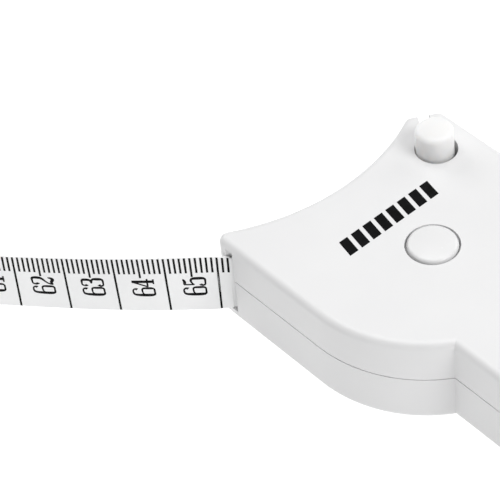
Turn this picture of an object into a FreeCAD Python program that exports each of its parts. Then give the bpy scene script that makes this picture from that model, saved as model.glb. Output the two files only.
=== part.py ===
"""A body tape measure: a flat Y-shaped case with a sprung tape drum, a centre button that frees the
drum, a tape that leaves the left arm, and a lock pin in the right arm for the tape's end.

Millimetres. The origin is on the drum's axis at the case's flat back. +Z points out of the face with the
button, +Y to the curved seat between the arms, and +X to the arm with the lock pin."""
import FreeCAD, Part

import math
import os

os.makedirs("parts", exist_ok=True)
Vec = FreeCAD.Vector
UP = Vec(0, 0, 1)

# Case
face_wall = 1.6
side_wall = 2.0
rim_round = 1.5
part_line_above_middle = 0.7
drum_side_room = 6.9
drum_seat_room = 5.9
belly_fullness = 0.7
belly_centre_y = 2.6
neck_half_width = 14.5
handle_end_half_width = 14.9
handle_end_y = -72.0
handle_corner_round = 9.0
seat_radius = 46.8
tape_tip_round = 1.8
pin_tip_round = 1.7
joint_groove = 0.25
tongue_height = 1.2
tongue_width = 0.9
tongue_clearance = 0.1
wall_overlap = 0.2
rib_thickness = 1.2
rib_height = 2.5
rib_spacing = 10.0
rib_keeps_clear = 5.0

# Tape
tape_width = 13.0
tape_thickness = 0.35
tape_length = 1500.0
tape_out = 653.0
exit_beyond_seat = 3.3
exit_angle = 139.0
slot_side_clearance = 0.525
slot_end_clearance = 1.5
slot_above_middle = 0.3

# Drum
hub_wall = 1.5
hub_clearance = 0.4
flange_radius = 17.8
flange_thickness = 0.8
flange_gap = 0.6
flange_clearance = 0.5
drum_floor = 1.0
washer_thickness = 0.4
washer_radius = 6.0
washer_clearance = 0.4
running_clearance = 0.05
seat_clearance = 0.02

# Mainspring and the post that holds it
arbor_radius = 3.0
arbor_spigot_radius = 2.0
arbor_slot = 0.5
arbor_guide_height = 1.2
hook_notch = 0.8
mainspring_thickness = 0.2
mainspring_turns = 8
spring_cover_thickness = 0.6
spring_cover_clearance = 0.4
spring_gap = 0.3

# Button, brake and button spring
button_radius = 4.85
button_hole_clearance = 0.4
button_stands_out = 0.8
button_dome = 0.35
button_rim_round = 0.8
button_travel = 1.6
button_flange_overlap = 0.95
button_flange_thickness = 1.4
button_stem_wall = 1.0
button_roof = 0.4
key_width = 1.6
key_reach = 0.9
collar_wall = 1.0
collar_height = 3.2
collar_clearance = 0.2
cover_clearance = 0.3
button_end_gap = 0.1
brake_rim = 0.9
brake_plate_thickness = 1.2
brake_pad_thickness = 0.8
brake_sleeve_wall = 1.2
brake_lift_gap = 0.2
brake_collar_gap = 0.5
button_spring_radius = 2.3
button_spring_wire = 0.4
button_spring_turns = 5
button_spring_flats = 8
button_spring_clearance = 0.3

# Lock pin and its socket
pin_from_side = 8.35
pin_below_seat = 6.0
pin_head_radius = 3.75
pin_shank_radius = 2.5
pin_stands_out = 5.3
pin_top_round = 1.0
pin_end_chamfer = 0.4
pin_hole_clearance = 0.45
pin_clearance = 0.3
pin_leans_x = -0.2
pin_leans_y = 0.19
socket_wall = 1.5
socket_depth = 1.4
socket_skin = 0.8
slit_clearance = 0.6
slit_offset = 0.3
slit_angle = 58.6
tip_cut_distance = 10.5

# Guide roller beside the tape's slot
roller_radius = 2.2
roller_pin_radius = 0.9
roller_boss_wall = 1.08
roller_end_gap = 0.4
roller_wall_gap = 0.3

# Screws
screw_from_centre = 10.0
screw_below_seat = 3.7
screw_from_neck = 11.8
screw_from_end = 11.0
screw_head_radius = 2.3
screw_head_height = 1.8
screw_radius = 1.25
screw_length = 11.0
screw_recess = 2.2
screw_boss_wall = 0.9
screw_head_clearance = 0.2
screw_shank_clearance = 0.15
screw_end_gap = 0.5
screw_cross_width = 0.6
screw_cross_length = 2.8
screw_cross_depth = 0.9
pilot_boss_wall = 1.33

# The drawn-out tape: the corners of its route in plan after the exit, and its loose roll
tape_corners = [(-33.5, 32.9), (-43.8, 45.2), (-60.1, 65.3), (-79.8, 93.0), (-94.7, 121.2)]
tape_slopes_over = 62.0
tape_slope_heading = 133.0
roll_outer = 34.0
roll_pitch = 5.0
roll_turns = 3
tail_radius = 9.3

# Fitting on the tape's end
end_sleeve_wall = 1.1
end_sleeve_clearance = 0.15
end_tab_length = 9.0
end_tab_thickness = 1.8
end_tab_start = 2.0
tape_in_tab = 6.0
rivet_radius = 1.0
rivet_head_radius = 1.8
rivet_head_height = 0.5
rivet_rows = (0.28, 0.72)
sleeve_end_gap = 0.2

# The case's overall sizes follow from the tape and the drum
case_thickness = tape_width + 2 * (flange_gap + flange_thickness + flange_clearance + face_wall)
head_half_width = flange_radius + drum_side_room + side_wall
belly_radius = head_half_width + belly_fullness
seat_low_y = flange_radius + drum_seat_room

# Heights, from the back face up
middle = case_thickness / 2
part_line = middle + part_line_above_middle
ceiling = case_thickness - face_wall
tape_low = middle - tape_width / 2
tape_high = middle + tape_width / 2
lower_flange_low = tape_low - flange_gap - flange_thickness
upper_flange_low = tape_high + flange_gap
drum_floor_low = lower_flange_low + washer_thickness + running_clearance
drum_floor_high = drum_floor_low + drum_floor
button_flange_low = ceiling - button_end_gap - button_flange_thickness
brake_pad_low = upper_flange_low - running_clearance - brake_pad_thickness
brake_plate_low = ceiling - collar_height - brake_collar_gap - brake_plate_thickness
stem_low = brake_plate_low - button_travel
arbor_top = stem_low - button_travel - brake_lift_gap
mainspring_low = drum_floor_high + spring_gap
mainspring_high = arbor_top - spring_gap
spring_cover_low = arbor_top
screw_seat = screw_recess + screw_head_height

# Widths and places in plan
button_hole_radius = button_radius + button_hole_clearance
button_flange_radius = button_hole_radius + button_flange_overlap
button_stem_bore = button_spring_radius + button_spring_wire / 2 + button_spring_clearance
button_stem_radius = button_stem_bore + button_stem_wall
collar_bore = button_flange_radius + collar_clearance
collar_radius = collar_bore + collar_wall
cover_bore = collar_radius + cover_clearance
brake_radius = cover_bore + brake_rim
hub_bore = brake_radius + hub_clearance
hub_radius = hub_bore + hub_wall
pin_hole_radius = pin_head_radius + pin_hole_clearance
pin_socket_radius = pin_hole_radius + socket_wall
slot_width = tape_thickness + 2 * slot_side_clearance
slot_height = tape_width + 2 * slot_end_clearance
slit_width = end_tab_thickness + slit_clearance
roller_boss_radius = roller_pin_radius + seat_clearance + roller_boss_wall
pilot_boss_radius = screw_radius + seat_clearance + pilot_boss_wall
wound_radius = math.sqrt(hub_radius**2 + (tape_length - tape_out) * tape_thickness / math.pi)
socket_place = Vec(head_half_width - pin_from_side, seat_low_y - pin_below_seat, 0)
pin_place = socket_place + Vec(pin_leans_x, pin_leans_y, 0)
exit_point = Vec(-head_half_width, seat_low_y + exit_beyond_seat, 0)
neck_reach = neck_half_width + belly_radius - head_half_width
neck_y = belly_centre_y - math.sqrt(belly_radius**2 - neck_reach**2)
screw_places = [(side * screw_from_centre, seat_low_y - screw_below_seat) for side in (-1, 1)]
screw_places += [(0, neck_y - screw_from_neck), (0, handle_end_y + screw_from_end)]


def heading(angle, length=1.0):
    """A level vector at an angle from +X towards +Y."""
    return Vec(length * math.cos(math.radians(angle)), length * math.sin(math.radians(angle)), 0)


def disc(radius, low, high, at=Vec(0, 0, 0)):
    return Part.makeCylinder(radius, high - low, Vec(at.x, at.y, low), UP)


def ring(outer, inner, low, high, at=Vec(0, 0, 0)):
    return disc(outer, low, high, at).cut(disc(inner, low - 1, high + 1, at))


def block(x0, x1, y0, y1, z0, z1):
    return Part.makeBox(x1 - x0, y1 - y0, z1 - z0, Vec(x0, y0, z0))


def bar(start, angle, length, width, low, high):
    """A box that runs level from start, with its width centred on that line."""
    box = Part.makeBox(length, width, high - low, Vec(0, -width / 2, low))
    box.rotate(Vec(0, 0, 0), UP, angle)
    box.translate(Vec(start.x, start.y, 0))
    return box


def arc_edge(a, middle_point, b):
    return Part.Arc(a, middle_point, b).toShape()


def line_edge(a, b):
    return Part.LineSegment(a, b).toShape()


def upright_edges(solid, place, reach):
    """The upright edges of a prism that stand near a place."""
    found = []
    for edge in solid.Edges:
        box = edge.BoundBox
        level = math.hypot(box.Center.x - place.x, box.Center.y - place.y)
        if box.ZLength > 1 and box.XLength + box.YLength < 1e-6 and level < reach:
            found.append(edge)
    return found


def prism(edges):
    """An upright prism of the case's full thickness on a closed outline."""
    outline = Part.Face(Part.Wire(Part.__sortEdges__(edges)))
    return outline.extrude(Vec(0, 0, case_thickness))


def head_block():
    """The round head with its two arms. It is cut off level inside the handle."""
    tip_y = seat_low_y + seat_radius - math.sqrt(seat_radius**2 - head_half_width**2)
    foot_y = neck_y - 2 * rim_round
    foot_x = math.sqrt(belly_radius**2 - (belly_centre_y - foot_y) ** 2) - belly_fullness
    left, right = Vec(-head_half_width, tip_y, 0), Vec(head_half_width, tip_y, 0)
    edges = [arc_edge(left, Vec(0, seat_low_y, 0), right)]
    edges.append(line_edge(Vec(-foot_x, foot_y, 0), Vec(foot_x, foot_y, 0)))
    for side in (1, -1):
        shoulder = Vec(side * head_half_width, belly_centre_y, 0)
        foot = Vec(side * foot_x, foot_y, 0)
        slant = math.radians(30)
        belly = Vec(side * (belly_radius * math.cos(slant) - belly_fullness), 0, 0)
        belly.y = belly_centre_y - belly_radius * math.sin(slant)
        edges.append(line_edge(Vec(side * head_half_width, tip_y, 0), shoulder))
        edges.append(arc_edge(shoulder, belly, foot))
    head = prism(edges)
    tip_face = socket_place + heading(slit_angle, tip_cut_distance)
    head = head.cut(bar(tip_face, slit_angle, 20, 40, -1, case_thickness + 1))
    head = head.makeFillet(tape_tip_round, upright_edges(head, left, 0.1))
    return head.makeFillet(pin_tip_round, upright_edges(head, tip_face, 6.0))


def handle_block():
    """The handle, which runs up into the head."""
    spread = (handle_end_half_width - neck_half_width) / (handle_end_y - neck_y)
    top_half_width = neck_half_width - spread * neck_y
    corners = [Vec(top_half_width, 0, 0), Vec(-top_half_width, 0, 0)]
    corners += [Vec(-handle_end_half_width, handle_end_y, 0), Vec(handle_end_half_width, handle_end_y, 0)]
    handle = prism([line_edge(corners[i - 1], corners[i]) for i in range(4)])
    ends = [e for e in upright_edges(handle, Vec(0, handle_end_y, 0), handle_end_half_width + 1)]
    return handle.makeFillet(handle_corner_round, ends)


def round_rims(block):
    """The block with its top and bottom rims rounded."""
    rims = [edge for edge in block.Edges if edge.BoundBox.ZLength < 1e-6]
    return block.makeFillet(min(rim_round, face_wall), rims)


def plan_face(solid):
    """The lowest flat face of a solid."""
    return min((f for f in solid.Faces if f.normalAt(0, 0).z < -0.99), key=lambda f: f.CenterOfMass.z)


def inset(face, distance, low, high):
    """A prism between two heights, on an outline that lies inside another by a distance."""
    shape = face.makeOffset2D(-distance) if distance else face.copy()
    shape.translate(Vec(0, 0, low - shape.BoundBox.ZMin))
    return shape.extrude(Vec(0, 0, high - low))


def tape_slot():
    """The slot through the left arm's side wall, cut along the way that the tape leaves."""
    start = exit_point - heading(exit_angle, side_wall * 2)
    low = middle + slot_above_middle - slot_height / 2
    return bar(start, exit_angle, side_wall * 4, slot_width, low, low + slot_height)


def pin_slit():
    """The slit from the pin's hole out through the right arm's tip, open at the top."""
    start = socket_place + heading(slit_angle + 90, slit_offset)
    length = tip_cut_distance + 5
    return bar(start, slit_angle, length, slit_width, tape_low - flange_gap, case_thickness + 1)


def screw_boss(x, y):
    radius = screw_head_radius + screw_head_clearance + screw_boss_wall
    return disc(radius, face_wall - wall_overlap, part_line, Vec(x, y, 0))


def screw_hole(x, y):
    at = Vec(x, y, 0)
    head = disc(screw_head_radius + screw_head_clearance, -1, screw_seat, at)
    shank_radius = screw_radius + screw_shank_clearance
    return head.fuse(disc(shank_radius, screw_seat - wall_overlap, part_line + 1, at))


def roller_place():
    """The guide roller stands behind the tape, where its leaving line touches it."""
    gap = roller_radius + tape_thickness / 2 + running_clearance
    side = heading(exit_angle + 90)
    x = -head_half_width + side_wall + roller_radius + roller_wall_gap
    back = (exit_point.x + gap * side.x - x) / heading(exit_angle).x
    return exit_point - heading(exit_angle, back) + side * gap


def tongue(face, outer, inner, low, high):
    return inset(face, outer, low, high).cut(inset(face, inner, low - 1, high + 1))


def handle_ribs(low, high, wall_face):
    ribs = []
    y = handle_end_y + rib_spacing
    while y < -neck_half_width - rib_spacing:
        if all(abs(y - screw_y) > rib_keeps_clear for _, screw_y in screw_places):
            ribs.append(block(-head_half_width, head_half_width, y, y + rib_thickness, low, high))
        y += rib_spacing
    inside = inset(wall_face, side_wall - wall_overlap, low, high)
    return [rib.common(inside) for rib in ribs]


def bottom_shell(solid, face):
    shell = solid.cut(inset(face, -1, part_line, case_thickness + 1))
    shell = shell.cut(inset(face, side_wall, face_wall, part_line + 1))
    floor = face_wall - wall_overlap
    roller = roller_place()
    posts = [screw_boss(x, y) for x, y in screw_places]
    posts += handle_ribs(floor, face_wall + rib_height, face)
    posts.append(disc(washer_radius, floor, lower_flange_low))
    posts.append(disc(pin_socket_radius, floor, part_line, socket_place))
    posts.append(disc(roller_boss_radius, floor, tape_low - 2 * roller_end_gap, roller))
    inside = inset(face, side_wall - wall_overlap, floor, part_line)
    for post in posts:
        shell = shell.fuse(post.common(inside))
    rim_low, rim_high = part_line - tongue_height, part_line + tongue_height
    shell = shell.fuse(tongue(face, side_wall - tongue_width, side_wall, rim_low, rim_high))
    for x, y in screw_places:
        shell = shell.cut(screw_hole(x, y))
    shell = shell.cut(disc(arbor_spigot_radius + seat_clearance, socket_skin, part_line))
    shell = shell.cut(disc(roller_pin_radius + seat_clearance, socket_skin, part_line, roller))
    shell = shell.cut(disc(pin_hole_radius, socket_skin + socket_depth, case_thickness, socket_place))
    shell = shell.cut(disc(pin_shank_radius + pin_clearance, socket_skin, part_line, socket_place))
    return shell.cut(tape_slot()).cut(pin_slit()).removeSplitter()


def button_keyways():
    """The slots in the top shell's collar that the button's two keys slide in."""
    width = key_width + 2 * running_clearance
    return [bar(Vec(0, 0, 0), angle, 2 * collar_radius, width, 0, ceiling) for angle in (0, 180)]


def top_shell(solid, face):
    shell = solid.cut(inset(face, -1, -1, part_line))
    shell = shell.cut(inset(face, side_wall, part_line - 1, ceiling))
    roof = ceiling + wall_overlap
    roller = roller_place()
    collar = ring(collar_radius, collar_bore, ceiling - collar_height, roof)
    for keyway in button_keyways():
        collar = collar.cut(keyway)
    posts = [collar, disc(pin_socket_radius, part_line, roof, socket_place)]
    posts += [disc(pilot_boss_radius, part_line, roof, Vec(x, y, 0)) for x, y in screw_places]
    posts += handle_ribs(ceiling - rib_height, roof, face)
    posts.append(disc(roller_boss_radius, tape_high + 2 * roller_end_gap, roof, roller))
    inside = inset(face, side_wall - wall_overlap, part_line, roof)
    for post in posts:
        shell = shell.fuse(post.common(inside))
    tongue_side = side_wall - tongue_width - tongue_clearance
    rebate_top = part_line + tongue_height + tongue_clearance
    shell = shell.cut(tongue(face, tongue_side, side_wall + tongue_clearance, part_line - 1, rebate_top))
    shell = shell.cut(tongue(face, -1, joint_groove, part_line - 1, part_line + joint_groove))
    for x, y in screw_places:
        pilot_top = screw_seat + screw_length + screw_end_gap
        shell = shell.cut(disc(screw_radius + seat_clearance, part_line - 1, pilot_top, Vec(x, y, 0)))
    shell = shell.cut(disc(button_hole_radius, ceiling - 1, case_thickness + 1))
    shell = shell.cut(disc(pin_hole_radius, part_line - 1, case_thickness + 1, socket_place))
    roller_hole = disc(roller_pin_radius + seat_clearance, part_line, case_thickness - socket_skin, roller)
    shell = shell.cut(roller_hole)
    return shell.cut(tape_slot()).cut(pin_slit()).removeSplitter()


def release_button():
    """The button's cap and its flange with two keys, on a hollow stem."""
    top = case_thickness + button_stands_out
    rim_height = top - button_dome
    dome_radius = (button_radius**2 + button_dome**2) / (2 * button_dome)
    dome = Part.makeSphere(dome_radius, Vec(0, 0, top - dome_radius))
    cap = disc(button_radius, button_flange_low, top + 1).common(dome)
    rims = [edge for edge in cap.Edges if abs(edge.BoundBox.Center.z - rim_height) < 0.01]
    cap = cap.makeFillet(button_rim_round, rims)
    flange_high = button_flange_low + button_flange_thickness
    body = cap.fuse(disc(button_flange_radius, button_flange_low, flange_high))
    for angle in (0, 180):
        key_end = button_flange_radius + key_reach
        body = body.fuse(bar(Vec(0, 0, 0), angle, key_end, key_width, button_flange_low, flange_high))
    body = body.fuse(disc(button_stem_radius, stem_low, flange_high))
    return body.cut(disc(button_stem_bore, stem_low - 1, button_flange_low - button_roof)).removeSplitter()


def brake_plate():
    """The cup on the button's stem that carries the brake pad."""
    bore = button_stem_radius + seat_clearance
    plate = ring(brake_radius, bore, brake_plate_low, brake_plate_low + brake_plate_thickness)
    rim = ring(brake_radius, cover_bore, brake_plate_low, brake_pad_low)
    sleeve_top = button_flange_low - button_end_gap
    sleeve = ring(button_stem_radius + brake_sleeve_wall, bore, brake_plate_low, sleeve_top)
    return plate.fuse(rim).fuse(sleeve).removeSplitter()


def brake_pad():
    return ring(brake_radius, cover_bore, brake_pad_low, brake_pad_low + brake_pad_thickness)


def button_spring():
    """The coil spring between the arbor and the roof of the button's stem. Its wire is given flats."""
    low = arbor_top + button_spring_wire / 2
    height = button_flange_low - button_roof - arbor_top - button_spring_wire
    helix = Part.makeHelix(height / button_spring_turns, height, button_spring_radius)
    helix.translate(Vec(0, 0, low))
    corners = []
    for i in range(button_spring_flats + 1):
        angle = 2 * math.pi * (i + 0.5) / button_spring_flats
        reach = button_spring_wire / 2
        x = button_spring_radius + reach * math.cos(angle)
        corners.append(Vec(x, 0, low + reach * math.sin(angle)))
    return Part.Wire(helix).makePipeShell([Part.makePolygon(corners)], True, True)


def spring_arbor():
    """The fixed post under the button, with a slot for the mainspring's inner end."""
    body = disc(arbor_spigot_radius, socket_skin, arbor_top)
    body = body.fuse(disc(arbor_radius, lower_flange_low, arbor_top))
    guide_radius = button_spring_radius - button_spring_wire
    body = body.fuse(disc(guide_radius, lower_flange_low, arbor_top + arbor_guide_height))
    half_slot = arbor_slot / 2
    slot_low = mainspring_low - spring_gap / 2
    slot = block(0, arbor_radius + 1, -half_slot, half_slot, slot_low, case_thickness)
    return body.cut(slot).removeSplitter()


def tape_drum():
    flange_bore = washer_radius + washer_clearance
    flange = ring(flange_radius, flange_bore, lower_flange_low, lower_flange_low + flange_thickness)
    floor = ring(hub_radius, arbor_radius + running_clearance, drum_floor_low, drum_floor_high)
    wall = ring(hub_radius, hub_bore, drum_floor_low, upper_flange_low)
    half_notch = hook_notch / 2
    notch_end = -hub_bore - hook_notch
    notch = block(notch_end, 0, -half_notch, half_notch, mainspring_low - spring_gap / 2, spring_cover_low)
    return flange.fuse(floor).fuse(wall.cut(notch)).removeSplitter()


def drum_cover():
    return ring(flange_radius, cover_bore, upper_flange_low, upper_flange_low + flange_thickness)


def thrust_washer():
    bore = arbor_radius + running_clearance
    return ring(washer_radius, bore, lower_flange_low, lower_flange_low + washer_thickness)


def spring_cover():
    bore = button_stem_radius + spring_cover_clearance
    high = spring_cover_low + spring_cover_thickness
    return ring(hub_bore - seat_clearance, bore, spring_cover_low, high)


def spiral_band(inner, outer, halves, thickness, low, high):
    """A flat spiral strip of half circles that meet tangentially. It starts at (inner, 0) and works
    outwards, to (-outer, 0) after an odd number of halves."""
    step = (outer - inner) / halves
    sides = []
    for offset in (thickness / 2, -thickness / 2):
        arcs = []
        for i in range(halves):
            side = 1 if i % 2 == 0 else -1
            centre_x = -side * step / 2
            radius = inner + step * (i + 0.5) + offset
            places = [Vec(centre_x + side * radius, 0, 0), Vec(centre_x, side * radius, 0)]
            places.append(Vec(centre_x - side * radius, 0, 0))
            arcs.append(places)
        sides.append(arcs)
    outside, inside = sides
    edges = [arc_edge(*places) for places in outside + inside]
    edges.append(line_edge(outside[0][0], inside[0][0]))
    edges.append(line_edge(outside[-1][2], inside[-1][2]))
    band = Part.Face(Part.Wire(Part.__sortEdges__(edges))).extrude(Vec(0, 0, high - low))
    band.translate(Vec(0, 0, low))
    return band


def mainspring():
    half = mainspring_thickness / 2
    inner, outer = arbor_radius + half + running_clearance, hub_bore - half - running_clearance
    halves = 2 * mainspring_turns - 1
    band = spiral_band(inner, outer, halves, mainspring_thickness, mainspring_low, mainspring_high)
    inner_hook = block(arbor_radius / 2, inner + half, -half, half, mainspring_low, mainspring_high)
    hook_end = -hub_bore - hook_notch + spring_gap
    outer_hook = block(hook_end, -outer + half, -half, half, mainspring_low, mainspring_high)
    return band.fuse(inner_hook).fuse(outer_hook).removeSplitter()


def wound_tape():
    return ring(wound_radius, hub_radius + seat_clearance, tape_low, tape_high)


def inner_tape():
    """The tape from the coil on the drum, round the guide roller, to the slot."""
    roller = roller_place()
    near = wound_radius + tape_thickness / 2 + running_clearance
    gap = roller_radius + tape_thickness / 2 + running_clearance
    bend = math.degrees(math.asin((near + gap) / roller.Length))
    run = math.degrees(math.atan2(roller.y, roller.x)) - bend
    half = tape_thickness / 2
    side, way_out = heading(run + 90), heading(exit_angle + 90)
    midway = heading((run + exit_angle) / 2 + 90)
    loops = []
    for offset in (half, -half):
        start = side * (near + offset)
        turn_start = roller - side * (gap - offset)
        turn_middle = roller - midway * (gap - offset)
        turn_end = roller - way_out * (gap - offset)
        loops.append((start, turn_start, turn_middle, turn_end, exit_point + way_out * offset))
    edges = [line_edge(loops[0][0], loops[1][0]), line_edge(loops[0][4], loops[1][4])]
    for coil_end, turn_start, turn_middle, turn_end, slot_end in loops:
        edges += [line_edge(coil_end, turn_start), arc_edge(turn_start, turn_middle, turn_end)]
        edges.append(line_edge(turn_end, slot_end))
    band = Part.Face(Part.Wire(Part.__sortEdges__(edges))).extrude(Vec(0, 0, tape_width))
    band.translate(Vec(0, 0, tape_low))
    return band


def guide_roller():
    bore = roller_pin_radius + running_clearance
    gap = roller_end_gap
    return ring(roller_radius, bore, tape_low - gap, tape_high + gap, roller_place())


def roller_pin():
    return disc(roller_pin_radius, socket_skin, case_thickness - socket_skin, roller_place())


def case_screw(x, y):
    at = Vec(x, y, 0)
    screw = disc(screw_head_radius, screw_recess, screw_seat, at)
    screw = screw.fuse(disc(screw_radius, screw_recess, screw_seat + screw_length, at))
    for angle in (45, 135):
        start = at - heading(angle, screw_cross_length / 2)
        bottom = screw_recess + screw_cross_depth
        screw = screw.cut(bar(start, angle, screw_cross_length, screw_cross_width, 0, bottom))
    return screw.removeSplitter()


def lock_pin():
    """The loose pin in the right arm: a thick head on a thinner shank that holds the tape's end."""
    top = case_thickness + pin_stands_out
    shoulder = tape_high + flange_gap
    head = disc(pin_head_radius, shoulder, top, pin_place)
    head = head.makeFillet(pin_top_round, [edge for edge in head.Edges if edge.BoundBox.ZMin > top - 0.01])
    shank = disc(pin_shank_radius, socket_skin, shoulder + 1, pin_place)
    foot = [edge for edge in shank.Edges if edge.BoundBox.ZMax < socket_skin + 0.01]
    shank = shank.makeChamfer(pin_end_chamfer, foot)
    return head.fuse(shank).removeSplitter()


def tape_route():
    """The corners of the drawn-out tape's route in plan, from the slot to the start of its roll."""
    return [exit_point] + [Vec(x, y, 0) for x, y in tape_corners]


def route_line(offset):
    """The edges along one side of the drawn-out tape: straight runs joined by tangent arcs."""
    points = tape_route()
    runs = [b - a for a, b in zip(points, points[1:])]
    ways = [Vec(run).normalize() for run in runs]
    lefts = [Vec(-way.y, way.x, 0) for way in ways]
    start = points[0] + lefts[0] * offset
    edges = []
    for i, corner in enumerate(points[1:-1]):
        turn = ways[i].getAngle(ways[i + 1])
        reach = 0.45 * min(runs[i].Length, runs[i + 1].Length)
        radius = reach / math.tan(turn / 2)
        hand = 1 if ways[i].cross(ways[i + 1]).z > 0 else -1
        centre = corner - ways[i] * reach + lefts[i] * hand * radius
        arm = hand * radius - offset
        middle_way = Vec(lefts[i] + lefts[i + 1]).normalize()
        arc_start, arc_end = centre - lefts[i] * arm, centre - lefts[i + 1] * arm
        edges += [line_edge(start, arc_start), arc_edge(arc_start, centre - middle_way * arm, arc_end)]
        start = arc_end
        if offset == 0:
            print(f"tape route corner {i + 1}: radius {radius:.0f} mm")
    edges.append(line_edge(start, points[-1] + lefts[-1] * offset))
    return edges


def drawn_tape():
    """The drawn-out tape from the slot to its roll. It sinks from the slot's height to the table."""
    half = tape_thickness / 2
    sides = [route_line(half), route_line(-half)]
    ends = []
    for point in (tape_route()[0], tape_route()[-1]):
        ends.append(line_edge(near_end(sides[0], point), near_end(sides[1], point)))
    band = Part.Face(Part.Wire(Part.__sortEdges__(sides[0] + sides[1] + ends)))
    band = band.extrude(Vec(0, 0, case_thickness))
    before, far = -10, 400
    profile = [(before, tape_low), (0, tape_low), (tape_slopes_over, 0), (far, 0), (far, tape_width)]
    profile += [(tape_slopes_over, tape_width), (0, tape_high), (before, tape_high), (before, tape_low)]
    side_view = Part.Face(Part.makePolygon([Vec(along, 0, height) for along, height in profile]))
    slab = side_view.extrude(Vec(0, 2 * far, 0))
    slab.translate(Vec(0, -far, 0))
    slab.rotate(Vec(0, 0, 0), UP, tape_slope_heading)
    slab.translate(exit_point)
    return band.common(slab)


def near_end(edges, point):
    """The free end of a chain of edges that lies near a point."""
    ends = [vertex.Point for edge in edges for vertex in edge.Vertexes]
    return min(ends, key=lambda end: end.distanceToPoint(point))


def roll_heading():
    """The way that the tape runs where its roll begins."""
    before, last = tape_route()[-2:]
    return math.degrees(math.atan2(last.y - before.y, last.x - before.x))


def roll_centre():
    return tape_route()[-1] + heading(roll_heading() - 90, roll_outer)


def roll_inner():
    return roll_outer - roll_turns * roll_pitch


def tape_roll():
    """The outer shape of the put-away roll: the tape stands on its edge in loose turns."""
    half = tape_thickness / 2
    return ring(roll_outer + half, roll_inner() - half, 0, tape_width, roll_centre())


def tail_turn_centre():
    return roll_centre() + heading(roll_heading() + 90, roll_inner() - tape_thickness - tail_radius)


def tail_end():
    """Where the tail's half turn ends, in the middle of the roll."""
    return tail_turn_centre() + heading(roll_heading() - 90, tail_radius)


def tape_tail():
    """The last stretch of tape: a half turn that brings the end into the middle of the roll."""
    half = tape_thickness / 2
    centre, angle = tail_turn_centre(), roll_heading()
    half_turn = ring(tail_radius + half, tail_radius - half, 0, tape_width, centre)
    half_turn = half_turn.common(bar(centre, angle, 2 * tail_radius, 4 * tail_radius, -1, tape_width + 1))
    straight = bar(tail_end(), angle + 180, end_tab_start + tape_in_tab, tape_thickness, 0, tape_width)
    tail = half_turn.fuse(straight)
    for hole in end_rivets(seat_clearance):
        tail = tail.cut(hole)
    return tail.removeSplitter()


def end_sleeve():
    """The moulded fitting that holds the tape's end and slips over the lock pin's shank."""
    angle = roll_heading() + 180
    start = tail_end() + heading(angle, end_tab_start)
    low, high = sleeve_end_gap, tape_width - sleeve_end_gap
    bore = pin_shank_radius + end_sleeve_clearance
    eye = start + heading(angle, end_tab_length + bore)
    body = bar(start, angle, end_tab_length + bore, end_tab_thickness, low, high)
    body = body.fuse(disc(bore + end_sleeve_wall, low, high, eye))
    body = body.cut(disc(bore, low - 1, high + 1, eye))
    pocket_width = tape_thickness + 2 * seat_clearance
    pocket_end = end_tab_start + tape_in_tab + seat_clearance
    pocket = bar(tail_end(), angle, pocket_end, pocket_width, 0, tape_width)
    body = body.cut(pocket)
    for hole in end_rivets(seat_clearance):
        body = body.cut(hole)
    return body.removeSplitter()


def end_rivets(clearance=0.0):
    """Two rivets through the tab and the tape, or with a clearance the holes for them."""
    angle = roll_heading() + 180
    across = heading(angle + 90)
    half = end_tab_thickness / 2
    rivets = []
    for share in rivet_rows:
        at = tail_end() + heading(angle, end_tab_start + tape_in_tab / 2)
        at.z = tape_width * share
        rivet = Part.makeCylinder(rivet_radius + clearance, 2 * half, at - across * half, across)
        if not clearance:
            for side in (1, -1):
                head_start = at + across * half * side
                head = Part.makeCylinder(rivet_head_radius, rivet_head_height, head_start, across * side)
                rivet = rivet.fuse(head)
        rivets.append(rivet.removeSplitter())
    return rivets


def save(name, *solids):
    shape = solids[0] if len(solids) == 1 else Part.makeCompound(list(solids))
    volume = sum(s.Volume for s in shape.Solids)
    print(f"{name}: {len(shape.Solids)} solid(s), valid {shape.isValid()}, {volume:.1f} mm3")
    shape.exportStep(f"parts/{name}.step")


head, handle = head_block(), handle_block()
case_plan = plan_face(head.fuse(handle).removeSplitter())
rounded_case = round_rims(head).fuse(round_rims(handle)).removeSplitter()

route_length = sum(edge.Length for edge in route_line(0))
roll_length = math.pi * roll_turns * (roll_outer + roll_inner())
tail_length = math.pi * tail_radius + end_tab_start + tape_in_tab
print(f"tape outside: {route_length + roll_length + tail_length:.0f} mm, planned {tape_out:.0f} mm")
print(f"drawn tape: section x length {route_length * tape_thickness * tape_width:.1f} mm3")

save("bottom_shell", bottom_shell(rounded_case, case_plan))
save("top_shell", top_shell(rounded_case, case_plan))
save("case_screws", *[case_screw(x, y) for x, y in screw_places])
save("release_button", release_button())
save("brake_plate", brake_plate())
save("brake_pad", brake_pad())
save("button_spring", button_spring())
save("spring_arbor", spring_arbor())
save("thrust_washer", thrust_washer())
save("tape_drum", tape_drum())
save("drum_cover", drum_cover())
save("spring_cover", spring_cover())
save("mainspring", mainspring())
save("wound_tape", wound_tape())
save("inner_tape", inner_tape())
save("guide_roller", guide_roller())
save("roller_pin", roller_pin())
save("lock_pin", lock_pin())
save("drawn_tape", drawn_tape())
save("tape_roll", tape_roll())
save("tape_tail", tape_tail())
save("end_sleeve", end_sleeve())
save("end_rivets", *end_rivets())
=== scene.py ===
import math
from bisect import bisect_right

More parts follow.
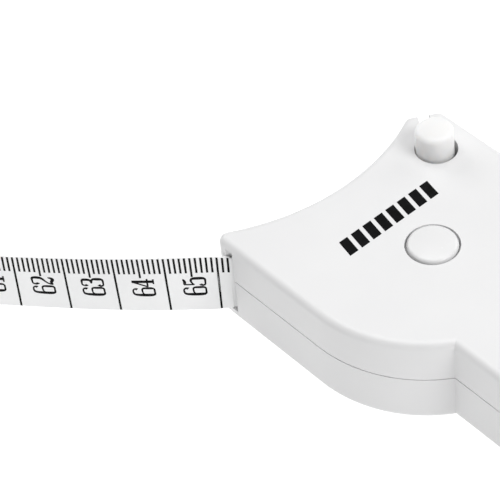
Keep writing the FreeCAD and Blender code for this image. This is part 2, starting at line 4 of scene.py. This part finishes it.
import bpy
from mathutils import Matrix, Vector


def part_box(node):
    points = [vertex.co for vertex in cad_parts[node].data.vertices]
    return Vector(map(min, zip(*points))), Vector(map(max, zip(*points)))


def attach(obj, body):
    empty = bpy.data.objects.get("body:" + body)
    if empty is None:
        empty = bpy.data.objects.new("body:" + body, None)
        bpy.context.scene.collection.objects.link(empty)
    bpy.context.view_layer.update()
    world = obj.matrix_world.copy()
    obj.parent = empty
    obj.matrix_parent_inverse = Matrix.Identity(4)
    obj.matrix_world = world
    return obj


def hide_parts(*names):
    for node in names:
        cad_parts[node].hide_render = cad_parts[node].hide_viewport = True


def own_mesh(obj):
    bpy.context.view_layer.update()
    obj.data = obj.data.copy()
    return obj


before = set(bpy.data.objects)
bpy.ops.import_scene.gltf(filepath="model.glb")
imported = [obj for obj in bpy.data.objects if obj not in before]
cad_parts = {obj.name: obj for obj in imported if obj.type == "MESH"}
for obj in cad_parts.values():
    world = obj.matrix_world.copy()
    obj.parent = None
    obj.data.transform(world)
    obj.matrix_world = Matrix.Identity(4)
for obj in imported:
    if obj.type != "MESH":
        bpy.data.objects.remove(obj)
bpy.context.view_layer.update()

# ---------------------------------------------------------------------------------------------------
# Camera: a long lens just under half a metre away, past the handle's end and to its left, so that the
# face and the near walls show. The body tape measure lies on its back, with its tape drawn out.
# ---------------------------------------------------------------------------------------------------
bpy.ops.object.select_all(action="DESELECT")
camera_place = (-0.21327, -0.22668, 0.34198)
camera_turn = (math.radians(44.028), math.radians(4.283), math.radians(-41.486))
bpy.ops.object.camera_add(location=camera_place, rotation=camera_turn)
camera = bpy.context.object
camera.name = "studio_camera"
camera.data.sensor_width = 36
camera.data.lens = 174.72
camera.data.clip_start = 0.01
camera.data.clip_end = 20
bpy.context.scene.camera = camera

# ---------------------------------------------------------------------------------------------------
# Tape: a 13 mm ribbon of glass-fibre cloth coated with white vinyl. It leaves the slot on its edge,
# leans back a little, sinks to the table and ends in a loose roll, put away behind the case.
# ---------------------------------------------------------------------------------------------------
mm = 0.001
tape_width = 13.0
tape_thickness = 0.35
slot_place = Vector((-26.7, 27.0, 10.0))
route = [slot_place, Vector((-29.7, 29.7, 10.1)), Vector((-35.9, 36.2, 9.5))]
route += [Vector((-43.3, 45.6, 8.1)), Vector((-51.7, 56.8, 6.8)), Vector((-64.5, 72.2, 6.5))]
route += [Vector((-79.8, 93.0, 6.5)), Vector((-94.7, 121.2, 6.5))]


def level_way(angle, length=1.0):
    """A level vector at an angle in degrees from +X towards +Y."""
    turn = math.radians(angle)
    return Vector((length * math.cos(turn), length * math.sin(turn), 0))


last_run = route[-1] - route[-2]
roll_way = math.degrees(math.atan2(last_run.y, last_run.x))
roll_outer = 34.0
roll_pitch = 5.0
roll_turns = 3
roll_looseness = 0.25
points_a_turn = 24
first_point = 2  # point 0 is the route's last corner, and point 1 would crowd it
roll_middle = route[-1] + level_way(roll_way - 90, roll_outer)
for point in range(first_point, roll_turns * points_a_turn):
    turned = point / points_a_turn
    slack = roll_looseness * (1 - math.cos(2 * math.tau * turned))
    turn_radius = roll_outer - roll_pitch * turned - slack
    route.append(roll_middle + level_way(roll_way + 90 - 360 * turned, turn_radius))
tail_radius = 9.3
tail_straight = 8.0
tail_step = 15
roll_inner = roll_outer - roll_pitch * roll_turns
tail_middle = roll_middle + level_way(roll_way + 90, roll_inner - tape_thickness - tail_radius)
for angle in range(90, -91, -tail_step):
    route.append(tail_middle + level_way(roll_way + angle, tail_radius))
half_turn_end = tail_middle + level_way(roll_way - 90, tail_radius)
for beyond in (tail_straight / 2, tail_straight):
    route.append(half_turn_end + level_way(roll_way + 180, beyond))

tape_line = bpy.data.curves.new("tape_line", "CURVE")
tape_line.dimensions = "3D"
tape_line.resolution_u = 10
spline = tape_line.splines.new("NURBS")
spline.points.add(len(route) - 1)
for control, corner in zip(spline.points, route):
    control.co = (*corner, 1)
spline.order_u = 3
spline.use_endpoint_u = True
line_holder = bpy.data.objects.new("tape_line", tape_line)
bpy.context.collection.objects.link(line_holder)
line_points = [v.co.copy() for v in bpy.data.meshes.new_from_object(line_holder).vertices]
bpy.data.objects.remove(line_holder)

line_reach = [0.0]
line_ways = []
for before, after in zip(line_points, line_points[1:]):
    line_reach.append(line_reach[-1] + (after - before).length)
    line_ways.append((after - before).normalized())
line_ways.insert(0, line_ways[0])
line_length = line_reach[-1]
slot_lean = 3.0
full_lean = 6.2
lean_run = 4.0
lean_lost = 0.075
squareness = 0.5
end_margin = 0.001


def tape_lean(along):
    """How far the tape leans back, in radians: a little in the slot, most just outside it, and less and
    less from there, until it stands upright on the table."""
    share = min(max(along / lean_run, 0), 1)
    share = share * share * (3 - 2 * share)
    return math.radians(max(slot_lean + (full_lean - slot_lean) * share - lean_lost * along, 0))


def on_tape(along, across, proud):
    """A place on the tape in metres: along from the slot, across from the lower edge, and proud of the
    middle of its thickness towards the printed side. Where the tape falls, its lines stand halfway
    between upright and square to it."""
    at = min(max(along, 0), line_length - end_margin)
    step = min(bisect_right(line_reach, at), len(line_points) - 1)
    share = (at - line_reach[step - 1]) / (line_reach[step] - line_reach[step - 1])
    next_way = line_ways[min(step + 1, len(line_ways) - 1)]
    way = line_ways[step].lerp(next_way, share - 0.5) if share > 0.5 else line_ways[step]
    if share < 0.5:
        way = line_ways[max(step - 1, 1)].lerp(line_ways[step], share + 0.5)
    middle = line_points[step - 1].lerp(line_points[step], share) + way * (along - at)
    printed_side = Vector((-way.y, way.x, 0)).normalized()
    across_way = Vector((way.x, way.y, way.z * squareness)).cross(printed_side).normalized()
    lean = tape_lean(along)
    up = across_way * math.cos(lean) - printed_side * math.sin(lean)
    out = across_way * math.sin(lean) + printed_side * math.cos(lean)
    return (middle + up * (across - tape_width / 2) + out * proud) * mm


steps_along = 520
steps_across = 6
bpy.ops.object.select_all(action="DESELECT")
bpy.ops.mesh.primitive_grid_add(x_subdivisions=steps_along, y_subdivisions=steps_across, size=2)
tape_band = bpy.context.object
tape_band.name = "tape_band"
for vertex in tape_band.data.vertices:
    along = (vertex.co.x + 1) / 2 * line_length
    across = (vertex.co.y + 1) / 2 * tape_width
    vertex.co = on_tape(along, across, 0)
solidify = tape_band.modifiers.new("vinyl", "SOLIDIFY")
solidify.thickness = tape_thickness * mm
solidify.offset = 0
bpy.ops.object.modifier_apply(modifier="vinyl")
bpy.ops.object.mode_set(mode="EDIT")
bpy.ops.mesh.select_all(action="SELECT")
bpy.ops.mesh.normals_make_consistent(inside=False)
bpy.ops.object.mode_set(mode="OBJECT")
bpy.ops.object.shade_smooth_by_angle(angle=math.radians(40))


def new_material(name):
    """An empty material and its shader, with a reading of the piece's own coordinates."""
    material = bpy.data.materials.new(name)
    material.use_nodes = True
    nodes = material.node_tree.nodes
    links = material.node_tree.links
    place = nodes.new("ShaderNodeTexCoord").outputs["Object"]
    return material, nodes, links, nodes["Principled BSDF"], place


def clouds(nodes, links, place, size, low, high, detail=3.0):
    """A number that drifts between low and high, in clouds about size metres across."""
    noise = nodes.new("ShaderNodeTexNoise")
    noise.inputs["Scale"].default_value = 1 / size
    noise.inputs["Detail"].default_value = detail
    links.new(place, noise.inputs["Vector"])
    spread = nodes.new("ShaderNodeMapRange")
    spread.inputs["From Min"].default_value = 0.3
    spread.inputs["From Max"].default_value = 0.7
    spread.inputs["To Min"].default_value = low
    spread.inputs["To Max"].default_value = high
    links.new(noise.outputs["Fac"], spread.inputs["Value"])
    return spread.outputs["Result"]


def colour_drift(nodes, links, shader, place, size, first, second):
    """Lets the colour drift between two close shades, in patches about size metres across."""
    mix = nodes.new("ShaderNodeMix")
    mix.data_type = "RGBA"
    mix.inputs["A"].default_value = (*first, 1)
    mix.inputs["B"].default_value = (*second, 1)
    links.new(clouds(nodes, links, place, size, 0, 1), mix.inputs["Factor"])
    links.new(mix.outputs["Result"], shader.inputs["Base Color"])


def uneven_sheen(nodes, links, shader, place, size, gloss, dull):
    """Lets the roughness drift between gloss and dull, in patches about size metres across."""
    links.new(clouds(nodes, links, place, size, gloss, dull), shader.inputs["Roughness"])


def fine_skin(nodes, links, shader, place, size, depth, strength):
    """Gives the surface a fine grain, about size metres across and at most depth metres deep."""
    height = clouds(nodes, links, place, size, 0, 1)
    bump = nodes.new("ShaderNodeBump")
    bump.inputs["Strength"].default_value = strength
    bump.inputs["Distance"].default_value = depth
    links.new(height, bump.inputs["Height"])
    links.new(bump.outputs["Normal"], shader.inputs["Normal"])


def finish(material, *names):
    """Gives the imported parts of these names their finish."""
    for name in names:
        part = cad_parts[name]
        part.data.materials.clear()
        part.data.materials.append(material)


vinyl_colour = (0.955, 0.958, 0.960)
vinyl_shade = (0.925, 0.930, 0.934)
vinyl, nodes, links, shader, place = new_material("white_vinyl")
colour_drift(nodes, links, shader, place, size=0.006, first=vinyl_colour, second=vinyl_shade)
uneven_sheen(nodes, links, shader, place, size=0.002, gloss=0.42, dull=0.55)
shader.inputs["Specular IOR Level"].default_value = 0.4
fine_skin(nodes, links, shader, place, size=0.0006, depth=0.00004, strength=0.15)
tape_band.data.materials.append(vinyl)
finish(vinyl, "wound_tape", "inner_tape")
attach(tape_band, "case")
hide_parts("drawn_tape", "tape_roll", "tape_tail")

# ---------------------------------------------------------------------------------------------------
# Scale: millimetre and centimetre lines and numbers, screen printed in black on the tape's front. They
# count up towards the case, and the slot stands a little past 65. One centimetre of lines and each
# numeral are drawn once, flat, in millimetres, and their copies are then laid on the tape.
# ---------------------------------------------------------------------------------------------------
centimetre = 10
reading_at_slot = 652.4
first_line = 9
last_line = 652
line_margin = 0.5
first_number = 2
last_number = 65
ink_proud = tape_thickness / 2 - 0.01
ink_height = 0.03
line_thickness = 0.4
edge_left_bare = 0.1
short_line_foot = tape_width * 0.71
half_line_foot = tape_width * 0.635


def flat_bar(left, right, low, high, foot, height):
    """One printed bar: a flat rectangle raised by the ink's height."""
    bpy.ops.object.select_all(action="DESELECT")
    bpy.ops.mesh.primitive_plane_add(size=2)
    bar = bpy.context.object
    for corner in bar.data.vertices:
        corner.co = (left if corner.co.x < 0 else right, low if corner.co.y < 0 else high, foot)
    bpy.ops.object.mode_set(mode="EDIT")
    bpy.ops.mesh.select_all(action="SELECT")
    bpy.ops.mesh.extrude_region_move(TRANSFORM_OT_translate={"value": (0, 0, height)})
    bpy.ops.mesh.select_all(action="SELECT")
    bpy.ops.mesh.normals_make_consistent(inside=False)
    bpy.ops.object.mode_set(mode="OBJECT")
    return bar


def joined(name, pieces):
    """The pieces as one, under the first one's object."""
    bpy.ops.object.select_all(action="DESELECT")
    for piece in pieces:
        piece.select_set(True)
    bpy.context.view_layer.objects.active = pieces[0]
    bpy.ops.object.join()
    pieces[0].name = name
    return pieces[0]


centimetre_lines = []
line_top = tape_width - edge_left_bare
for millimetre in range(centimetre):
    line_foot = {0: edge_left_bare, 5: half_line_foot}.get(millimetre, short_line_foot)
    middle = reading_at_slot - millimetre
    sides = (middle - line_thickness / 2, middle + line_thickness / 2)
    centimetre_lines.append(flat_bar(*sides, line_foot, line_top, ink_proud, ink_height))
tape_print = joined("tape_print", centimetre_lines)
along_tape = tape_print.modifiers.new("along_tape", "ARRAY")
along_tape.use_relative_offset = False
along_tape.use_constant_offset = True
along_tape.constant_offset_displace = (-centimetre, 0, 0)
along_tape.count = last_number + 1
bpy.ops.object.modifier_apply(modifier="along_tape")
bpy.ops.object.mode_set(mode="EDIT")
bpy.ops.mesh.select_all(action="DESELECT")
bpy.ops.object.mode_set(mode="OBJECT")
for vertex in tape_print.data.vertices:
    reading = reading_at_slot - vertex.co.x
    vertex.select = reading < first_line - line_margin or reading > last_line + line_margin
bpy.ops.object.mode_set(mode="EDIT")
bpy.ops.mesh.delete(type="VERT")
bpy.ops.object.mode_set(mode="OBJECT")

# Each numeral is drawn with pen strokes in a cell of its own. A stroke is a list of places, each with
# the pen's half width there, to which the thinnest pen is added. A nine is a six turned upside down.
numeral_width = 2.15
numeral_height = 4.4
numeral_step = 2.25
numeral_proud = tape_thickness / 2 + 0.012
thinnest_pen = 0.08
pen_flatness = 0.05
six = [(1.62, 3.52, 0.27), (1.85, 3.75, 0.14), (1.6, 4.34, 0.09), (0.95, 4.38, 0.1), (0.3, 4.15, 0.17)]
six += [(0.2, 2.4, 0.26), (0.2, 0.8, 0.27), (0.35, 0.06, 0.14), (1.05, 0.08, 0.09), (1.95, 0.08, 0.14)]
six += [(1.95, 1.3, 0.2), (1.95, 2.55, 0.13), (1.1, 2.52, 0.08), (0.5, 2.45, 0.08), (0.28, 1.8, 0.08)]
numerals = {
    0: [[(1.05, 4.32, 0.09), (0.2, 4.32, 0.16), (0.2, 2.2, 0.27), (0.2, 0.08, 0.16), (1.05, 0.08, 0.09),
         (1.92, 0.08, 0.16), (1.92, 2.2, 0.27), (1.92, 4.32, 0.16), (1.05, 4.32, 0.09)]],
    1: [[(1.1, 0.1, 0.26), (1.1, 2.2, 0.26), (1.1, 4.35, 0.26)],
        [(0.35, 0.09, 0.09), (1.85, 0.09, 0.09)],
        [(1.1, 4.2, 0.12), (0.8, 3.8, 0.09), (0.35, 3.75, 0.06)]],
    2: [[(0.55, 3.2, 0.28), (0.2, 3.3, 0.16), (0.25, 4.3, 0.1), (1.05, 4.36, 0.1), (1.9, 4.36, 0.2),
         (1.9, 3.2, 0.27), (1.75, 2.4, 0.2), (0.9, 1.7, 0.1), (0.3, 0.9, 0.08), (0.22, 0.25, 0.08)],
        [(0.22, 0.25, 0.1), (0.7, 0.65, 0.2), (1.2, 0.28, 0.27), (1.75, 0.12, 0.26),
         (1.95, 1.15, 0.05)]],
    3: [[(0.5, 3.35, 0.27), (0.2, 3.5, 0.14), (0.35, 4.34, 0.09), (1.0, 4.36, 0.1), (1.75, 4.3, 0.2),
         (1.75, 3.4, 0.25), (1.7, 2.5, 0.16), (0.8, 2.45, 0.08)],
        [(0.8, 2.45, 0.08), (1.9, 2.45, 0.17), (1.92, 1.25, 0.27), (1.92, 0.1, 0.18), (1.0, 0.07, 0.09),
         (0.25, 0.1, 0.1), (0.15, 0.8, 0.14), (0.5, 1.0, 0.27)]],
    4: [[(1.35, 0.1, 0.24), (1.35, 2.2, 0.24), (1.35, 4.35, 0.24)], [(1.3, 4.3, 0.1), (0.1, 1.3, 0.08)],
        [(0.05, 1.3, 0.1), (2.05, 1.3, 0.1)], [(0.75, 0.09, 0.09), (1.95, 0.09, 0.09)]],
    5: [[(0.4, 4.2, 0.1), (0.7, 4.05, 0.22), (1.3, 4.0, 0.22), (1.75, 4.35, 0.08)],
        [(0.42, 4.2, 0.08), (0.4, 2.2, 0.08)],
        [(0.4, 2.25, 0.08), (0.8, 2.8, 0.1), (1.9, 2.85, 0.18), (1.93, 1.4, 0.28), (1.93, 0.1, 0.18),
         (1.0, 0.06, 0.09), (0.25, 0.1, 0.1), (0.15, 0.85, 0.14), (0.5, 1.0, 0.27)]],
    6: [six],
    7: [[(0.2, 3.5, 0.05), (0.35, 4.25, 0.1), (0.8, 4.1, 0.22), (1.3, 4.05, 0.2), (1.95, 4.3, 0.08)],
        [(1.95, 4.3, 0.07), (1.35, 3.0, 0.12), (0.9, 1.9, 0.26), (0.9, 0.1, 0.28)]],
    8: [[(1.05, 4.34, 0.09), (0.3, 4.34, 0.16), (0.3, 3.4, 0.22), (0.4, 2.7, 0.2), (1.1, 2.35, 0.2),
         (1.93, 1.9, 0.2), (1.93, 1.1, 0.2), (1.93, 0.08, 0.14), (1.05, 0.08, 0.09), (0.2, 0.08, 0.14),
         (0.2, 1.1, 0.22), (0.2, 1.9, 0.12), (1.05, 2.35, 0.08), (1.75, 2.8, 0.1), (1.8, 3.4, 0.14),
         (1.8, 4.34, 0.12), (1.05, 4.34, 0.09)]],
    9: [[(numeral_width - x, numeral_height - y, pen) for x, y, pen in six]],
}


def drawn_numeral(digit, strokes):
    """One numeral, lying flat: each stroke is a four-sided pen line pressed nearly flat."""
    pen_line = bpy.data.curves.new("numeral_" + str(digit), "CURVE")
    pen_line.dimensions = "3D"
    pen_line.resolution_u = 3
    pen_line.bevel_depth = 1.0
    pen_line.bevel_resolution = 0
    pen_line.use_fill_caps = True
    for stroke in strokes:
        part = pen_line.splines.new("NURBS")
        part.points.add(len(stroke) - 1)
        for control, (x, y, pen) in zip(part.points, stroke):
            control.co = (x, y, 0, 1)
            control.radius = thinnest_pen + pen
        part.order_u = min(3, len(stroke))
        part.use_endpoint_u = True
    holder = bpy.data.objects.new("numeral_" + str(digit), pen_line)
    bpy.context.collection.objects.link(holder)
    numeral = bpy.data.meshes.new_from_object(holder)
    bpy.data.objects.remove(holder)
    for vertex in numeral.vertices:
        vertex.co.z = numeral_proud + vertex.co.z * pen_flatness
    return numeral


drawn = {digit: drawn_numeral(digit, strokes) for digit, strokes in numerals.items()}
text_low = tape_width * 0.285
towards_case = 0.3
numbers = []
for number in range(first_number, last_number + 1):
    digits = [int(letter) for letter in str(number)]
    text_width = numeral_step * (len(digits) - 1) + numeral_width
    text_start = text_low + (numeral_step + numeral_width - text_width) / 2
    cell_middle = reading_at_slot - number * centimetre + centimetre / 2
    text_foot = cell_middle - towards_case - numeral_height / 2
    for place_in_text, digit in enumerate(digits):
        numeral = bpy.data.objects.new("numeral", drawn[digit].copy())
        bpy.context.collection.objects.link(numeral)
        for vertex in numeral.data.vertices:
            across = text_start + place_in_text * numeral_step + vertex.co.x
            vertex.co = (text_foot + vertex.co.y, across, vertex.co.z)
        numbers.append(numeral)
tape_print = joined("tape_print", [tape_print] + numbers)
for vertex in tape_print.data.vertices:
    vertex.co = on_tape(*vertex.co)

ink_colour = (0.002, 0.002, 0.002)
ink_shade = (0.006, 0.006, 0.007)
ink, nodes, links, shader, place = new_material("black_ink")
colour_drift(nodes, links, shader, place, size=0.0015, first=ink_colour, second=ink_shade)
uneven_sheen(nodes, links, shader, place, size=0.0008, gloss=0.5, dull=0.65)
shader.inputs["Specular IOR Level"].default_value = 0.08
fine_skin(nodes, links, shader, place, size=0.0003, depth=0.00001, strength=0.1)
tape_print.data.materials.append(ink)
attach(tape_print, "case")

# ---------------------------------------------------------------------------------------------------
# End fitting: a small moulded tab with an eye that slips over the lock pin, held to the tape's end by
# two nickel-plated rivets.
# ---------------------------------------------------------------------------------------------------
def moulded_plastic(name, colour, shade, gloss, dull, specular=0.5, translucent=0.0):
    """Injection-moulded plastic: faint clouds in the colour, a slightly uneven sheen and a fine skin."""
    material, nodes, links, shader, place = new_material(name)
    colour_drift(nodes, links, shader, place, size=0.02, first=colour, second=shade)
    uneven_sheen(nodes, links, shader, place, size=0.004, gloss=gloss, dull=dull)
    shader.inputs["Specular IOR Level"].default_value = specular
    shader.inputs["Subsurface Weight"].default_value = translucent
    shader.inputs["Subsurface Radius"].default_value = (1.0, 0.95, 0.9)
    shader.inputs["Subsurface Scale"].default_value = 0.004
    fine_skin(nodes, links, shader, place, size=0.0004, depth=0.00002, strength=0.06)
    return material


def metal(name, colour, shade, gloss, dull):
    """Plated or ground steel, with a slightly uneven shine and a very fine grain."""
    material, nodes, links, shader, place = new_material(name)
    colour_drift(nodes, links, shader, place, size=0.001, first=colour, second=shade)
    uneven_sheen(nodes, links, shader, place, size=0.001, gloss=gloss, dull=dull)
    shader.inputs["Metallic"].default_value = 1.0
    fine_skin(nodes, links, shader, place, size=0.0002, depth=0.00001, strength=0.1)
    return material


fitting_plastic = moulded_plastic("fitting_plastic", colour=(0.86, 0.86, 0.86), shade=(0.83, 0.83, 0.83),
                                  gloss=0.3, dull=0.4)
finish(fitting_plastic, "end_sleeve")
nickel = metal("nickel", colour=(0.66, 0.64, 0.60), shade=(0.55, 0.53, 0.50), gloss=0.22, dull=0.38)
finish(nickel, "end_rivets")

# ---------------------------------------------------------------------------------------------------
# Case: two shells moulded in white ABS, polished to a soft shine, that meet at a fine groove and are
# held together by screws from the back
# ---------------------------------------------------------------------------------------------------
case_plastic = moulded_plastic("case_plastic", colour=(0.795, 0.795, 0.797), shade=(0.775, 0.775, 0.78),
                               gloss=0.30, dull=0.38)
finish(case_plastic, "top_shell", "bottom_shell")

# ---------------------------------------------------------------------------------------------------
# Mark: a plain row of bold slanting bars, pad printed in black on the face, between the button and the
# curved seat
# ---------------------------------------------------------------------------------------------------
face_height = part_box("top_shell")[1].z / mm
mark_sunk = 0.05
mark_height = 0.08
mark_foot = face_height - mark_sunk
mark_left = -12.6
mark_low = 8.7
mark_slant = math.tan(math.radians(12))
bar_width = 2.05
bar_step = 2.95
bar_length = 4.0
bar_count = 8
mark_bars = []
for place_in_row in range(bar_count):
    left = mark_left + place_in_row * bar_step
    mark_bars.append(flat_bar(left, left + bar_width, 0, bar_length, mark_foot, mark_height))
stripe_mark = joined("stripe_mark", mark_bars)
for vertex in stripe_mark.data.vertices:
    slanted = vertex.co.x + vertex.co.y * mark_slant
    vertex.co = Vector((slanted, mark_low + vertex.co.y, vertex.co.z)) * mm
stripe_mark.data.materials.append(ink)
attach(stripe_mark, "case")

# ---------------------------------------------------------------------------------------------------
# Release button and brake: a glossy white button on a nylon cup, with a rubber ring that grips the drum
# until the button is pressed. Its coil spring stands on the case's post.
# ---------------------------------------------------------------------------------------------------
button_plastic = moulded_plastic("button_plastic", colour=(0.80, 0.80, 0.80), shade=(0.78, 0.78, 0.785),
                                 gloss=0.2, dull=0.28)
finish(button_plastic, "release_button")
nylon = moulded_plastic("natural_nylon", colour=(0.72, 0.70, 0.64), shade=(0.68, 0.66, 0.60),
                        gloss=0.4, dull=0.5)
finish(nylon, "brake_plate", "spring_arbor")
brake_rubber = moulded_plastic("brake_rubber", colour=(0.02, 0.02, 0.02), shade=(0.03, 0.03, 0.03),
                               gloss=0.7, dull=0.85, specular=0.3)
finish(brake_rubber, "brake_pad")
spring_steel = metal("spring_steel", colour=(0.42, 0.42, 0.44), shade=(0.34, 0.34, 0.36),
                     gloss=0.25, dull=0.4)
finish(spring_steel, "mainspring")
bpy.ops.object.select_all(action="DESELECT")
pressed_spring = bpy.data.objects.new("pressed_spring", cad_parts["button_spring"].data.copy())
bpy.context.collection.objects.link(pressed_spring)
pressed_spring.select_set(True)
bpy.context.view_layer.objects.active = pressed_spring
bpy.ops.object.mode_set(mode="EDIT")
bpy.ops.mesh.select_all(action="SELECT")
bpy.ops.mesh.remove_doubles(threshold=0.000001)
bpy.ops.object.mode_set(mode="OBJECT")
bpy.ops.object.shade_smooth_by_angle(angle=math.radians(40))
pressed_spring.data.materials.clear()
pressed_spring.data.materials.append(spring_steel)
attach(pressed_spring, "case")
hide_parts("button_spring")
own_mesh(pressed_spring)

# ---------------------------------------------------------------------------------------------------
# Lock pin: a glossy white moulded peg that stands in the right arm, takes the eye of the tape's end
# and lifts out of its socket
# ---------------------------------------------------------------------------------------------------
pin_plastic = moulded_plastic("pin_plastic", colour=(0.83, 0.828, 0.825), shade=(0.81, 0.808, 0.805),
                              gloss=0.3, dull=0.38, specular=0.4, translucent=0.8)
finish(pin_plastic, "lock_pin")

# ---------------------------------------------------------------------------------------------------
# Drum: a grey acetal hub and flanges that turn on the case's post, over a slippery washer; the guide
# roller at the slot is turned from the same white acetal as the washer
# ---------------------------------------------------------------------------------------------------
drum_plastic = moulded_plastic("grey_acetal", colour=(0.18, 0.19, 0.20), shade=(0.15, 0.16, 0.17),
                               gloss=0.35, dull=0.45)
finish(drum_plastic, "tape_drum", "drum_cover", "spring_cover")
white_acetal = moulded_plastic("white_acetal", colour=(0.74, 0.74, 0.71), shade=(0.70, 0.70, 0.67),
                               gloss=0.35, dull=0.45)
finish(white_acetal, "thrust_washer", "guide_roller")

# ---------------------------------------------------------------------------------------------------
# Roller pin and case screws: a ground steel axle for the guide roller, and four zinc-plated screws
# driven from the back
# ---------------------------------------------------------------------------------------------------
ground_steel = metal("ground_steel", colour=(0.56, 0.56, 0.58), shade=(0.48, 0.48, 0.50),
                     gloss=0.2, dull=0.32)
finish(ground_steel, "roller_pin")
zinc_plate = metal("zinc_plate", colour=(0.62, 0.63, 0.66), shade=(0.50, 0.51, 0.54),
                   gloss=0.28, dull=0.42)
finish(zinc_plate, "case_screws")

# ---------------------------------------------------------------------------------------------------
# Table and light: a white light table in a white room, with one soft box at the handle's side, one
# right above and two weaker ones over the seat and at the right
# ---------------------------------------------------------------------------------------------------
table_size = 6
table_drop = 0.00002
bpy.context.scene.view_settings.view_transform = "Standard"
bpy.ops.object.select_all(action="DESELECT")
bpy.ops.mesh.primitive_plane_add(size=table_size, location=(0, 0, -table_drop))
table_top = bpy.context.object
table_top.name = "table_top"
light_table = bpy.data.materials.new("light_table")
light_table.use_nodes = True
shader = light_table.node_tree.nodes["Principled BSDF"]
shader.inputs["Base Color"].default_value = (0.3, 0.3, 0.3, 1)
shader.inputs["Roughness"].default_value = 0.9
shader.inputs["Specular IOR Level"].default_value = 0.0
shader.inputs["Emission Color"].default_value = (1, 1, 1, 1)
shader.inputs["Emission Strength"].default_value = 1.0
table_top.data.materials.append(light_table)

room = bpy.data.worlds.new("white_room")
room.use_nodes = True
room.node_tree.nodes["Background"].inputs["Color"].default_value = (1, 1, 1, 1)
room.node_tree.nodes["Background"].inputs["Strength"].default_value = 0.15
bpy.context.scene.world = room


def soft_lamp(name, heading, height, size, watts):
    """A square soft box a metre away, at a heading from +X towards +Y and a height in degrees."""
    rise = math.radians(height)
    place = level_way(heading, math.cos(rise)) + Vector((0, 0, math.sin(rise)))
    turn = place.to_track_quat("Z", "Y").to_euler()
    bpy.ops.object.light_add(type="AREA", location=place, rotation=turn)
    lamp = bpy.context.object
    lamp.name = name
    lamp.data.shape = "SQUARE"
    lamp.data.size = size
    lamp.data.energy = watts


soft_lamp("lamp_handle_side", heading=-75, height=45, size=0.5, watts=5.1)
soft_lamp("lamp_over_seat", heading=90, height=35, size=0.5, watts=2.5)
soft_lamp("lamp_right", heading=0, height=30, size=0.5, watts=1.4)
soft_lamp("lamp_above", heading=90, height=85, size=0.9, watts=5.6)
